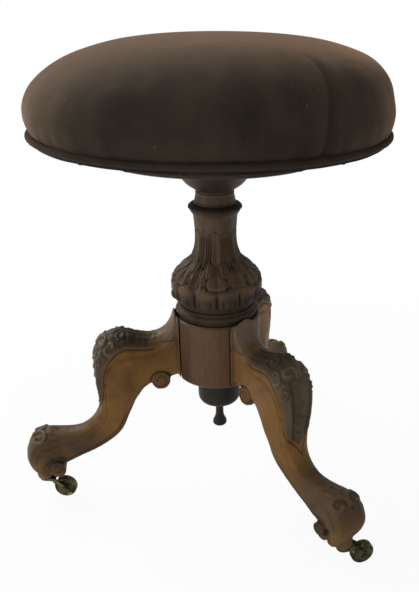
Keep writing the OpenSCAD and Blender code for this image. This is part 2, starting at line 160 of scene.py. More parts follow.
def woodFinish(name, wood, along=(1, 1, 0.12), gloss=0.38, coat=0.08):
    shades = woods[wood]
    made = Finish(name, {"Coat Weight": coat, "Coat Roughness": 0.22, "Specular IOR Level": 0.22})
    here = made.place(stretch=along)
    figure = made.noise(here, 46, 4, 0.55, 0.6)
    streak = made.noise(here, 240, 2, 0.5)
    pores = made.noise(made.place(stretch=(along[0], along[1], along[2] * 0.4)), 900, 1, 0.4)
    patch = made.noise(made.place(), 14, 3, 0.6)
    tone = (figure * 0.5 + streak * 0.14 + patch * 0.6).between(0.38, 0.9)
    body = made.mix(tone, shades["light"], shades["dark"])
    body = made.mix(pores.between(0.56, 0.70) * 0.25, body, shades["dirtAndShade"])
    # painted shade: recesses that the AO finds are darkened towards the pores' dark colour
    open_ = made.cavity(0.007).between(0.35, 0.9)
    body = made.mix(1 - open_, body, shades["dirtAndShade"])
    made.feed("Base Color", body)
    made.feed("Roughness", (patch * 0.25 + gloss) + (1 - open_) * 0.25)
    made.bump(figure * 0.3 + streak * 0.5 - pores * 0.6, 0.0003, 0.5)
    return made.material


def brassFinish(name):
    made = Finish(name, {"Metallic": 1.0})
    patina = made.noise(made.place(), 160, 4, 0.6)
    specks = made.noise(made.place(), 900, 2, 0.5)
    open_ = made.cavity(0.004).between(0.3, 0.95)
    old = (patina * 0.7 + specks * 0.3).between(0.40, 0.60)
    body = made.mix(old, colour(.20, .18, .085), colour(.060, .056, .028))
    # painted shade: recesses that the AO finds are darkened and made less metallic
    body = made.mix(1 - open_, body, colour(.022, .022, .013))
    made.feed("Base Color", body)
    made.feed("Roughness", old * 0.25 + 0.34)
    made.feed("Metallic", 1 - (1 - open_) * 0.7)
    made.bump(patina * 0.5 + specks * 0.5, 0.0003, 0.5)
    return made.material


def steelFinish(name, light, dark, rough):
    made = Finish(name, {"Metallic": 1.0})
    turned = made.noise(made.place(stretch=(0.05, 0.05, 1)), 1600, 2, 0.5)
    grime = made.noise(made.place(), 90, 3, 0.6)
    open_ = made.cavity(0.005).between(0.3, 0.95)
    body = made.mix(grime.between(0.4, 0.68), light, dark)
    # painted shade: recesses that the AO finds are darkened
    made.feed("Base Color", made.mix(1 - open_, body, colour(.02, .017, .014)))
    made.feed("Roughness", grime * 0.3 + rough)
    made.bump(turned, 0.0001, 0.4)
    return made.material


def leatherFinish(name):
    made = Finish(name, {})
    pattern = {"Vector": made.place(), "Scale": 1400}
    grain = made.node("ShaderNodeTexVoronoi", {"feature": "DISTANCE_TO_EDGE"}, pattern, "Distance")
    tone = made.noise(made.place(), 120, 3, 0.6)
    body = made.mix(tone.between(0.35, 0.7), colour(.085, .040, .022), colour(.030, .017, .012))
    made.feed("Base Color", body)
    made.feed("Roughness", tone * 0.2 + 0.5)
    made.bump(grain.between(0, 0.2), 0.0002, 0.6)
    return made.material


def velvetFinish(name, sheen=0.40):
    made = Finish(name, {
        "Sheen Weight": sheen, "Sheen Roughness": 0.38, "Sheen Tint": colour(1, .63, .40),
        "Specular IOR Level": 0.08})
    pile = made.noise(made.place(), 1100, 2, 0.6)
    nap = made.noise(made.place(), 9, 4, 0.6, 0.4)
    streaks = made.noise(made.place(stretch=(1, 1, 0.25)), 40, 3, 0.55)
    crush = (nap * 0.65 + streaks * 0.35).between(0.38, 0.64)
    body = made.mix(crush, colour(.030, .024, .018), colour(.056, .043, .031))
    dust = made.noise(made.place(), 300, 1, 0.4).between(0.765, 0.80)
    body = made.mix(dust * 0.35, body, colour(.20, .15, .12))
    # painted shade along the cushion's fold crease and on the welt cord under the cushion
    body = made.mix(made.attribute("seamShade") * 0.6, body, colour(.014, .010, .008))
    made.feed("Base Color", body)
    made.feed("Roughness", crush * 0.1 + 0.82)
    made.bump(pile * 0.6 + streaks * 0.8, 0.0006, 0.5)
    return made.material


def calicoFinish(name):
    made = Finish(name, {"Specular IOR Level": 0.2})
    threads = {"Vector": made.place(), "Scale": 320, "Distortion": 0.6}
    warp = made.node("ShaderNodeTexWave", {"bands_direction": "X"}, threads)
    weft = made.node("ShaderNodeTexWave", {"bands_direction": "Y"}, threads)
    weave = warp.does("MAXIMUM", weft)
    fade = made.noise(made.place(), 24, 3, 0.6)
    body = made.mix(fade.between(0.4, 0.65), colour(.018, .016, .015), colour(.032, .029, .027))
    made.feed("Base Color", body)
    made.feed("Roughness", fade * 0.1 + 0.85)
    made.bump(weave, 0.0003, 0.5)
    return made.material


def carvedFinish(name, panel, carved, crestWearAndHighlight=None):  # dark carving laid over polished wood
    made = Finish(name, {"Coat Weight": 0.06, "Coat Roughness": 0.25, "Specular IOR Level": 0.2})
    along = made.place(stretch=(0.35, 0.35, 0.35) if crestWearAndHighlight else (1, 1, 0.16))
    figure = made.noise(along, 90 if crestWearAndHighlight else 52, 4, 0.55, 0.8)
    streak = made.noise(along, 320, 2, 0.5)
    patch = made.noise(made.place(), 16, 3, 0.6)
    tone = (figure * 0.6 + streak * 0.15 + patch * 0.5).between(0.50, 0.86)
    body = made.mix(tone, woods[panel]["light"], woods[panel]["dark"])
    if crestWearAndHighlight:
        patina = made.mix(tone, woods[carved]["light"], woods[carved]["dark"])
        body = made.mix(made.attribute("carving"), body, patina)
        # painted highlight, with some rubbed wear: the marked raised parts are lightened
        body = made.mix(made.attribute("crestWearAndHighlight") * patch.between(0.3, 0.7), body, crestWearAndHighlight)
    # painted shade: the AO's recesses and the painted shade marked on the carving darken the colour
    open_ = made.cavity(0.006).between(0.3, 0.95)
    deep = made.attribute("paintedShade").does("MAXIMUM", (1 - open_) * 0.8)
    body = made.mix(deep * 0.9, body, woods[carved]["dirtAndShade"])
    made.feed("Base Color", body)
    made.feed("Roughness", (patch * 0.2 + 0.36) + deep * 0.3)
    made.bump(figure * 0.3 + streak * 0.4, 0.0003, 0.5)
    return made.material


finishes = {
    "velvet": velvetFinish("brownVelvet"),
    "weltVelvet": velvetFinish("weltVelvet", sheen=0.12),
    "calico": calicoFinish("blackCalico"),
    "walnut": woodFinish("polishedWalnut", "walnut"),
    "carvedWalnut": carvedFinish("carvedWalnut", "smoky", "smoky"),
    "carvedLeg": carvedFinish("carvedLegWalnut", "golden", "carving", colour(.250, .178, .112)),
    "darkWalnut": woodFinish("darkWalnut", "dusky", coat=0.05),
    "ebonyAndShade": woodFinish("ebonisedAndShadedDrop", "ebonyAndShade", gloss=0.36, coat=0.05),
    "pine": woodFinish("sawnPine", "pine", along=(0.1, 1, 1), gloss=0.6, coat=0),
    "brass": brassFinish("agedBrass"),
    "steel": steelFinish("oiledSteel", colour(.42, .41, .39), colour(.20, .18, .16), 0.28),
    "darkSteel": steelFinish("darkSteel", colour(.15, .14, .11), colour(.06, .055, .045), 0.5),
    "iron": steelFinish("blackIron", colour(.11, .105, .10), colour(.045, .042, .04), 0.5),
    "leather": leatherFinish("washerLeather"),
}
nodeFinish = {
    "hub": "walnut", "seat_boss": "darkWalnut", "under_disc": "darkWalnut",
    "drop_boss": "ebonyAndShade", "drop_finial": "ebonyAndShade", "nut": "iron", "screw_plate": "iron",
    "washer": "leather", "seat_board": "pine",
    "plate_screw_1": "steel", "plate_screw_2": "steel", "plate_screw_3": "steel"}
for side in legBearings:
    nodeFinish["castor_axle_" + side] = "darkSteel"
    for part in ("plate", "horn", "wheel"):
        nodeFinish["castor_" + part + "_" + side] = "brass"


def dress(piece, material):
    piece.data.materials.clear()
    piece.data.materials.append(material)


for name, kind in nodeFinish.items():
    for slot in cadNodes[name].material_slots:
        slot.material = finishes[kind]
print("CAD nodes dressed:", len(nodeFinish))


# Shared ways of working
def newPiece(name, mesh):
    piece = bpy.data.objects.new(name, mesh)
    bpy.context.scene.collection.objects.link(piece)
    return piece


def pick(piece):
    bpy.ops.object.select_all(action="DESELECT")
    piece.select_set(True)
    bpy.context.view_layer.objects.active = piece


def applyModifier(piece, kind, **settings):
    pick(piece)
    modifier = piece.modifiers.new("work", kind)
    for key, value in settings.items():
        setattr(modifier, key, value)
    bpy.ops.object.modifier_apply(modifier=modifier.name)


def copyNode(node, name):  # a merged copy of a CAD node
    piece = newPiece(name, cadNodes[node].data.copy())
    pick(piece)
    bpy.ops.object.mode_set(mode="EDIT")
    bpy.ops.mesh.select_all(action="SELECT")
    bpy.ops.mesh.remove_doubles(threshold=0.00002)
    bpy.ops.object.mode_set(mode="OBJECT")
    return piece


def lathe(name, profile, steps):  # (radius, height) in millimetres, spun into a closed turning
    mesh = bpy.data.meshes.new(name)
    edges = [(i, i + 1) for i in range(len(profile) - 1)]
    mesh.from_pydata([(r / 1000, 0, z / 1000) for r, z in profile], edges, [])
    piece = newPiece(name, mesh)
    pick(piece)
    bpy.ops.object.mode_set(mode="EDIT")
    bpy.ops.mesh.select_all(action="SELECT")
    bpy.ops.mesh.spin(steps=steps, angle=2 * math.pi, center=(0, 0, 0), axis=(0, 0, 1))
    bpy.ops.mesh.select_all(action="SELECT")
    bpy.ops.mesh.remove_doubles(threshold=0.00002)
    bpy.ops.mesh.normals_make_consistent(inside=False)
    bpy.ops.object.mode_set(mode="OBJECT")
    return piece


def softShade(piece, angle):
    pick(piece)
    bpy.ops.object.shade_smooth_by_angle(angle=math.radians(angle))


def ready(piece, material, body, slotName, *stands):  # the last step of every piece
    dress(piece, material)
    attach(piece, body)
    if stands:
        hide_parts(*stands)


def markPoints(piece, name, values):
    layer = piece.data.attributes.new(name, "FLOAT", "POINT")
    layer.data.foreach_set("value", values)


def ease(low, high, value):  # 0 below low, 1 above high, smooth between
    t = min(1, max(0, (value - low) / (high - low)))
    return t * t * (3 - 2 * t)


def span(a, b, c, d, value):  # rises from a to b and falls from c to d
    return ease(a, b, value) * (1 - ease(c, d, value))


def hill(value, middle, width):  # 1 at the middle, falling away on both sides
    return math.exp(-((value - middle) / width) ** 2)


def denser(points, gap):  # a polyline with no step longer than gap
    out = [points[0]]
    for a, b in zip(points, points[1:]):
        n = max(1, math.ceil(math.dist(a, b) / gap))
        out += [tuple(p + (q - p) * k / n for p, q in zip(a, b)) for k in range(1, n + 1)]
    return out


def through(points, n):  # a smooth curve through every point
    out = []
    for i in range(len(points) - 1):
        a, b, c, d = (points[min(max(i + k, 0), len(points) - 1)] for k in (-1, 0, 1, 2))
        for k in range(n):
            t = k / n
            out.append(tuple(
                0.5 * (2 * q + (r - p) * t + (2 * p - 5 * q + 4 * r - s) * t * t
                    + (3 * q - p - 3 * r + s) * t ** 3) for p, q, r, s in zip(a, b, c, d)))
    return out + [tuple(points[-1])]


# Velvet cushion, sewn in at its edge by the welt; lengths in millimetres
cushionValues = {
    "voxel": 5, "startSmaller": 3, "pressure": 4, "frames": 20, "cap": 24, "heldEdge": 4,
    "mass": 0.4, "stiffness": 40, "bending": 2, "inside": 0.6,
    "lean": 11.5, "rise": 1.4, "tilt": 0.011, "fullness": 1.6, "overWelt": 2.2,
    "crease": 2.2, "pillow": 1.2, "gathers": 46, "gatherDepth": 0.35,
    "foldBearing": -60, "foldLean": 5, "foldWidth": 3.4, "foldDepth": 1.3, "foldPuff": 0.7}


def swell(piece, v, bottom):  # cloth under the stuffing's pressure, held along its lower edge
    start = [point.co.copy() for point in piece.data.vertices]
    edge = bottom + v["heldEdge"] / 1000
    held = piece.vertex_groups.new(name="held")
    held.add([p.index for p in piece.data.vertices if p.co.z < edge], 1, "ADD")
    pick(piece)
    cloth = piece.modifiers.new("cloth", "CLOTH")
    cloth.settings.use_pressure = True
    cloth.settings.uniform_pressure_force = v["pressure"]
    cloth.settings.vertex_group_mass = "held"
    cloth.settings.effector_weights.gravity = 0
    cloth.settings.mass = v["mass"]
    cloth.settings.tension_stiffness = v["stiffness"]
    cloth.settings.compression_stiffness = v["stiffness"]
    cloth.settings.bending_stiffness = v["bending"]
    cloth.point_cache.frame_start = 1
    cloth.point_cache.frame_end = v["frames"]
    for frameNumber in range(1, v["frames"] + 1):
        bpy.context.scene.frame_set(frameNumber)
    blown = piece.evaluated_get(bpy.context.evaluated_depsgraph_get()).data
    swollen = [point.co.copy() for point in blown.vertices]
    piece.modifiers.remove(cloth)
    bpy.context.scene.frame_set(1)
    cap = v["cap"] / 1000
    for point, a, b in zip(piece.data.vertices, start, swollen):
        move = b - a
        if move.length > cap:
            move *= cap / move.length
        point.co = a + move


def buildCushion(v):
    low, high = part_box("cushion")
    wide = (high[0] - low[0]) / 2
    tall = high[2] - low[2]
    piece = copyNode("cushion", "cushionVelvet")
    less = v["startSmaller"] / 1000
    for point in piece.data.vertices:
        point.co.x *= 1 - less / wide
        point.co.y *= 1 - less / wide
        point.co.z = low[2] + (point.co.z - low[2]) * (1 - less / tall)
    applyModifier(piece, "REMESH", mode="VOXEL", voxel_size=v["voxel"] / 1000)
    swell(piece, v, low[2])
    applyModifier(piece, "SMOOTH", factor=0.5, iterations=4)
    applyModifier(piece, "SUBSURF", levels=1, render_levels=1)
    reach = max(math.hypot(p.co.x, p.co.y) for p in piece.data.vertices)
    top = max(p.co.z for p in piece.data.vertices)
    bottom = min(p.co.z for p in piece.data.vertices)
    for point in piece.data.vertices:  # back to the size of the CAD cushion
        point.co.x *= (wide - v["inside"] / 1000) / reach
        point.co.y *= (wide - v["inside"] / 1000) / reach
        point.co.z = low[2] + (point.co.z - bottom) / (top - bottom) * tall
    seamShade = []
    normals = [point.normal.copy() for point in piece.data.vertices]
    for point, normal in zip(piece.data.vertices, normals):
        x, y, z = point.co
        r = math.hypot(x, y)
        turn = math.atan2(y, x)
        share = (z - low[2]) / tall  # 0 at the welt, 1 at the crown
        side = ease(0.62, 0.9, r / wide)
        fold = math.radians(v["foldBearing"] + v["foldLean"] * share)
        across = ((turn - fold + math.pi) % (2 * math.pi) - math.pi) * r * 1000
        foldReach = ease(0.66, 0.84, r / wide)
        line = hill(across, 0, v["foldWidth"]) * foldReach
        puff = hill(across, 2.6 * v["foldWidth"], 2 * v["foldWidth"]) * foldReach
        gather = math.sin(v["gathers"] * turn + 3 * noise.noise((x * 18, y * 18, 0)))
        pull = hill(share, 0.08, 0.12) * side * v["gatherDepth"] * (0.5 + 0.5 * gather)
        crease = side * hill(share, 0.4, 0.3) * v["crease"] * noise.noise((x * 26, y * 26, z * 5))
        pillow = v["pillow"] * noise.noise((x * 11, y * 11, z * 11 + 4))
        full = v["fullness"] * hill(share, 0.2, 0.16) * side
        out = full + puff * v["foldPuff"] - line * v["foldDepth"] - pull + crease + pillow * side
        steady = ease(0.0, 0.03, share)
        point.co += normal * out / 1000 * steady
        point.co.z -= v["overWelt"] / 1000 * side * (1 - ease(0.02, 0.1, share))
        point.co.x += v["lean"] / 1000 * ease(0.25, 1, share) * (1 - 0.25 * share) * steady
        point.co.z += (v["rise"] / 1000 + v["tilt"] * x) * ease(0.3, 0.9, share)
        # painted shade in the fold's crease
        seamShade.append(line * 0.7)
    markPoints(piece, "seamShade", seamShade)
    pick(piece)
    bpy.ops.object.shade_smooth()
    ready(piece, finishes["velvet"], "seat", "velvet", "cushion")


# Welt cord, covered in the same velvet, with its lapped ends under the seam
weltValues = {
    "steps": 220, "round": 14, "slimmer": 0.9, "lapBearing": -62, "lapWidth": 4, "lap": 0.042,
    "uneven": 0.0625}


def buildWelt(v):
    low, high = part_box("welt")
    cord = (high[2] - low[2]) / 2
    ring = (high[0] - low[0]) / 2 - cord
    bpy.ops.object.select_all(action="DESELECT")
    bpy.ops.mesh.primitive_torus_add(
        major_segments=v["steps"], minor_segments=v["round"], major_radius=ring,
        minor_radius=cord * v["slimmer"], location=(0, 0, 0))
    piece = bpy.context.object
    piece.name = "weltCord"
    applyModifier(piece, "SUBSURF", levels=1, render_levels=1)
    seamShade = []
    for point in piece.data.vertices:
        turn = math.atan2(point.co.y, point.co.x)
        middle = Vector((math.cos(turn), math.sin(turn), 0)) * ring
        off = point.co - middle
        lap = hill((turn - math.radians(v["lapBearing"])) * ring * 1000, 0, v["lapWidth"])
        twist = noise.noise((math.cos(turn) * 40, math.sin(turn) * 40, off.z * 200))
        point.co = middle + off * (1 + v["uneven"] * twist + v["lap"] * lap)
        point.co.z += (low[2] + high[2]) / 2
        # painted shade: the top of the cord, tucked under the cushion, darkest, and the whole cord
        # a little darker
        seamShade.append(0.25 + 0.75 * hill(off.z / cord, 0.9, 0.4))
    markPoints(piece, "seamShade", seamShade)
    softShade(piece, 60)
    ready(piece, finishes["weltVelvet"], "seat", "velvet", "welt")


# Black bottoming cloth, tacked under the board, which slopes up past its flat
bottomingValues = {
    "thick": 0.7, "sag": 0.35, "flatShare": 0.8, "turnUp": 1.6, "steps": 144,
    "tacks": 22, "tackRadius": 2.6, "tackFlat": 0.38, "tackInset": 4.5}


def buildBottoming(v):
    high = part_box("bottoming")[1]
    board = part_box("seat_board")
    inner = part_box("under_disc")[1][0] * 1000 + 0.15
    outer = high[0] * 1000
    face = board[0][2] * 1000
    edgeZ = high[2] * 1000
    flat = v["flatShare"] * board[1][0] * 1000
    rim = board[1][0] * 1000 + 0.1
    upper = denser([
        (inner, face - 0.1), (flat, face - 0.1), (rim, edgeZ - 0.25),
        (rim, edgeZ + v["turnUp"])], 2.5)
    lower = []
    for r, z in reversed(upper):  # the cloth's thickness, outwards where it turns up
        lower.append((r + v["thick"], z) if z > edgeZ else (r, z - v["thick"]))
    piece = lathe("bottomingCloth", upper + lower + [upper[0]], v["steps"])
    for point in piece.data.vertices:
        x, y, z = point.co
        slope = ease(flat, outer, math.hypot(x, y) * 1000)
        pull = math.cos(v["tacks"] * math.atan2(y, x))
        if z * 1000 < face + (edgeZ - face) * slope - 0.5:
            loose = 0.6 + 0.8 * noise.noise((x * 40, y * 40, 0))
            point.co.z -= v["sag"] / 1000 * (1 - slope * (0.5 + 0.5 * pull)) * loose
    softShade(piece, 50)
    ready(piece, finishes["calico"], "seat", "calico", "bottoming")
    ring = outer - v["tackInset"]
    height = face + (edgeZ - face) * (ring - flat) / (outer - flat) - 1.0
    bpy.ops.object.select_all(action="DESELECT")
    bpy.ops.mesh.primitive_uv_sphere_add(
        segments=10, ring_count=6, radius=v["tackRadius"] / 1000, location=(0, 0, 0))
    tack = bpy.context.object
    tack.name = "bottomingTacks"
    tack.data.transform(Matrix.Translation((ring / 1000, 0, height / 1000))
        @ Matrix.Diagonal((1, 1, v["tackFlat"], 1)))
    copies = []
    for k in range(1, v["tacks"]):
        turn = 2 * math.pi * k / v["tacks"]
        move = Vector((math.cos(turn) - 1, math.sin(turn), 0)) * ring / 1000
        copies.append(newPiece("tack", tack.data.copy()))
        copies[-1].data.transform(Matrix.Translation(move))
    pick(tack)
    for one in copies:
        one.select_set(True)
    bpy.ops.object.join()
    softShade(tack, 60)
    ready(tack, finishes["iron"], "seat", "iron")


# Carved pillar: a turned and reeded vase with two tiers of leaves; lengths in millimetres
pillarValues = {
    "base": 211.5, "height": 129, "bulb": 47.5, "lobes": 12, "lobeDepth": 3.4,
    # share of the height, radius
    "foot": [
        (0, 40.5), (.018, 40.5), (.032, 42.5), (.047, 43.5), (.062, 42.5), (.075, 40), (.09, 40)],
    # share of the height, share of the bulb's radius, share of the lobes' depth
    "vase": [
        (.09, .79, 0), (.11, .8, 0), (.135, .825, 0), (.15, .93, .5), (.175, .985, .9),
        (.23, 1, 1), (.285, .99, 1), (.325, .95, .62), (.36, .89, 1), (.408, .775, 1),
        (.456, .605, .9), (.508, .525, .75), (.56, .4775, .6), (.64, .4526, .5),
        (.72, .4504, .42), (.79, .4617, .2), (.825, .47, 0)],
    "head": [
        (.825, 23.4), (.85, 24.5), (.868, 25.65), (.88, 27), (.892, 26.7), (.904, 25.1),
        (.912, 20.86), (.955, 19.89), (.98, 19.14), (1, 19.14)],
    # radius, height
    "bore": [
        (0, 220.6), (10.7, 220.6), (10.7, 298.5), (13.1, 298.5), (13.1, 337.5), (16.1, 337.5),
        (16.1, 340.4)],
    "tenon": [(16, 211.5), (16, 183), (0, 183)],
    # heights between which each form comes in, and those between which it goes out
    "reeds": (246, 253, 296, 303), "leaves": (246, 251, 262, 274),
    "midVeins": (224, 230, 243, 247), "sideVeins": (227, 233, 242, 246),
    "tier": 248.5, "leafTip": 259, "reedTip": 300, "upperCurl": 268, "lowerCurl": 236,
    "core": 18, "stub": 332, "proud": 0.9, "footShade": 0.62, "ringShade": 0.85,
    "steps": 240, "gap": 0.8}


def pillarRelief(v, turn, height, radius):  # how far the carving stands out, in millimetres
    lobe = (turn / (2 * math.pi) * v["lobes"] + 0.5) % 1
    off = abs(lobe - 0.5) * 2  # 0 on a lobe's crest, 1 in the valley
    odd = int(turn / (2 * math.pi) * v["lobes"] + 1.5) % 2  # every second lobe carries a leaf
    wide = math.pi * radius / v["lobes"]
    mm = off * wide
    if odd:
        cut = hill(mm, 0.3 * wide, 0.75) + hill(mm, 0.72 * wide, 0.8)
        leaf = span(*v["leaves"], height) * (1 - ease(0.75, 1.05, off))
        tip = math.hypot(mm, (height - v["leafTip"]) * 0.75)
        out = 1.7 * leaf - 0.8 * leaf * abs(math.sin(math.pi * (mm / 4 + height / 9)))
        out -= 1.3 * hill(tip, 0.92 * wide, 1.1) * ease(247, 252, height)
    else:
        cut = 0.9 * hill(mm, 0.9 * wide, 0.8)
        out = 0
    top = math.hypot(mm, height - v["reedTip"])
    out -= 1.3 * span(*v["reeds"], height) * cut
    out -= 0.8 * hill(top, 0.8 * wide, 0.9) * ease(299, 301, height)
    tier = v["tier"] + 3.4 * off ** 1.6 + 2.5 * odd
    out -= 1.5 * hill(height, tier + 1.6, 1.3)
    out += 0.9 * hill(height, tier - 1.8, 2.4) * (1 - 0.3 * off)
    out -= 0.8 * hill(mm, 0, 0.8) * span(*v["midVeins"], height)
    out -= 0.8 * hill(mm, 0.5 * wide, 1.0) * span(*v["sideVeins"], height)
    curl = math.hypot(mm - 0.95 * wide, (height - v["upperCurl"]) * 0.8)
    out += (1.7 * hill(curl, 0, 3.2) - 1.1 * hill(curl, 5.4, 1.1)) * (1 - odd * 0.4)
    curl = math.hypot(mm - 0.95 * wide, (height - v["lowerCurl"]) * 0.9)
    out += 1.2 * hill(curl, 0, 3) - 0.8 * hill(curl, 4.8, 1)
    return out


def buildPillar(v):
    base, tall = v["base"], v["height"]
    foot = [(r, base + s * tall, 0) for s, r in v["foot"]]
    vase = [(r * v["bulb"], base + s * tall, c) for s, r, c in through(v["vase"], 3)]
    head = [(r, base + s * tall, 0) for s, r in v["head"]]
    outer = denser(foot + vase[1:] + head[1:], v["gap"])
    path = denser(v["bore"], 12) + [(r, z) for r, z, c in reversed(outer)] + v["tenon"]
    piece = lathe("carvedPillar", path, v["steps"])
    lobeCuts = sorted((z, c) for r, z, c in outer)
    paintedShade = []
    for point in piece.data.vertices:
        x, y, z = (c * 1000 for c in point.co)
        r = math.hypot(x, y)
        deep = 0
        if r > v["core"] and base + 0.2 < z < v["stub"]:
            turn = math.atan2(y, x) % (2 * math.pi)
            cut = 0
            for (z0, c0), (z1, c1) in zip(lobeCuts, lobeCuts[1:]):
                if z0 <= z <= z1:
                    cut = c0 + (c1 - c0) * (z - z0) / (z1 - z0) if z1 > z0 else c0
                    break
            valley = 1 - abs(math.sin(v["lobes"] / 2 * turn))
            out = -v["lobeDepth"] * cut * (r / v["bulb"]) * valley ** 1.5
            carved = pillarRelief(v, turn, z, r) * span(229.5, 231.5, 308, 314, z)
            out += min(carved, v["proud"])
            # painted shade in the carving's recesses and lobe valleys, over the foot under the bulb
            # and on the ring under the seat
            deep = ease(0.2, 2.2, -carved) + 0.35 * valley ** 3 * cut
            deep += v["footShade"] * (1 - ease(236, 250, z)) + v["ringShade"] * hill(z, 326, 6)
            point.co.x *= (r + out) / r
            point.co.y *= (r + out) / r
        paintedShade.append(min(1, deep))
    markPoints(piece, "paintedShade", paintedShade)
    softShade(piece, 45)
    ready(piece, finishes["carvedWalnut"], "base", "walnut", "pillar")


# Cabriole legs: one is carved, then copied and turned under the other two corners; in millimetres
legValues = {
    "root": 42.5, "reach": 211, "floor": 27.9, "rise": 184.6, "half": 18, "voxel": 1.0,
    "seat": 41.5, "rootHalf": 15, "shoulder": 46.2, "hubFace": 42.4, "rootLine": 187,
    # shares of the reach and of the rise: the outer edge, then the inner edge
    "stations": [
        (0, .985, 0, .605), (.02, 1.02, .03, .605), (.035, .975, .07, .605), (.07, .92, .1, .605),
        (.13, .885, .135, .605), (.2, .88, .185, .59), (.27, .895, .235, .56),
        (.34, .915, .265, .525), (.415, .905, .29, .495), (.48, .87, .305, .465),
        (.515, .81, .32, .435), (.53, .735, .335, .405), (.53, .63, .35, .37),
        (.52, .54, .365, .335), (.52, .455, .39, .29), (.54, .4, .43, .245), (.58, .35, .495, .2),
        (.645, .31, .575, .16), (.725, .3, .65, .135), (.805, .305, .72, .11),
        (.88, .305, .765, .095), (.945, .28, .785, .085), (.98, .235, .8, .08), (1, .17, .81, .085),
        (.985, .12, .825, .08), (.955, .075, .84, .065), (.92, .045, .865, .045)],
    "widths": [  # shares of half
        .8, .8, .82, .85, .88, .92, .98, 1.06, 1.16, 1.22, 1.22, 1.14, 1.05, .93, .82, .7, .64,
        .64, .7, .8, .92, 1.02, 1.08, 1.08, 1.08, 1.04, .98],
    # length along the outer edge, place over the face, size, start angle
    "curls": [(92, 1.1, 10.5, 2.6), (99, 0.4, 7, -0.6), (78, 0.5, 5.5, 1.2), (114, 0.95, 5.5, 2.2)],
    "toeSwirl": (262, 0.62, 0.9), "toeCurl": (249, 0.25), "toeHalf": 15,
    "kneeRoll": {"x": 63.6, "z": 135.9, "plain": 7, "lift": 5.6, "carved": 10.4},
    "toeRoll": {"x": 179.8, "z": 38, "plain": 7.5, "lift": 8, "carved": 8},
    # station numbers between which each form comes in, and those between which it goes out
    "bandStarts": (3.6, 4.6), "kneeEnds": (8.2, 9.6), "toe": (18, 19, 21.6, 22.6),
    "line": (3.8, 4.6, 12.5, 13.5), "tipLine": (12, 12.8, 15, 15.5),
    "lowLine": (4.6, 5.6, 19, 20), "kneeShade": (4, 5.2, 7.6, 8.8),
    "depths": {
        "line": 0.7, "lowLine": 0.6, "rootLine": 0.5, "hollow": 1.2,
        "kneeRing": 1.2, "toeRing": 1.4, "eye": 0.8}}


def legPlaces(v):  # the stations in millimetres, with the length along the outer edge
    def at(s, h):
        return (v["root"] + s * (v["reach"] - v["root"]), v["floor"] + h * v["rise"])
    rows = []
    along = 0
    for a, b, c, d in v["stations"]:
        upper, lower = at(a, b), at(c, d)
        if rows:
            along += math.dist(upper, rows[-1][0])
        rows.append((upper, lower, along))
    return rows


def legSpot(rows, x, z):  # station number, share across the leg, its thickness, length along it
    best = None
    for i in range(len(rows) - 1):
        (u0, l0, a0), (u1, l1, a1) = rows[i], rows[i + 1]
        n0 = math.dist(u0, l0)
        n1 = math.dist(u1, l1)
        c0 = ((u0[0] - l0[0]) * (z - l0[1]) - (u0[1] - l0[1]) * (x - l0[0])) / n0
        c1 = ((u1[0] - l1[0]) * (z - l1[1]) - (u1[1] - l1[1]) * (x - l1[0])) / n1
        if c0 == c1:
            continue
        t = c0 / (c0 - c1)
        miss = max(0, -t, t - 1)
        t = min(1, max(0, t))
        lx, lz = l0[0] + (l1[0] - l0[0]) * t, l0[1] + (l1[1] - l0[1]) * t
        ux, uz = u0[0] + (u1[0] - u0[0]) * t, u0[1] + (u1[1] - u0[1]) * t
        thick = math.dist((ux, uz), (lx, lz))
        q = ((x - lx) * (ux - lx) + (z - lz) * (uz - lz)) / thick ** 2
        offLine = math.dist((x, z), (lx + (ux - lx) * q, lz + (uz - lz) * q))
        cost = offLine + max(0, -q, q - 1) * thick * 2 + miss
        if best is None or cost < best[0]:
            best = (cost, i + t, q, thick, a0 + (a1 - a0) * t)
    return best[1:]


def halfWidth(v, n):  # of the leg at a station number
    k = min(int(n), len(v["widths"]) - 2)
    return v["half"] * (v["widths"][k] + (v["widths"][k + 1] - v["widths"][k]) * (n - k))


def volute(roll, x, z, side):  # a scroll's grooves, round it and into its eye, and how far out
    dx, dz = x - roll["x"], z - roll["z"] - roll["lift"]
    far = math.hypot(dx, dz)
    wound = (math.atan2(dz, dx) / (2 * math.pi)) % 1
    ring = hill(far, roll["carved"] + 0.6, 1.0) * ease(0.6, 0.85, side)
    eye = hill(far, roll["carved"] * (0.36 + 0.42 * wound), 0.8) * ease(0.8, 0.95, side)
    return ring, eye * (far < roll["carved"]), far - roll["carved"]


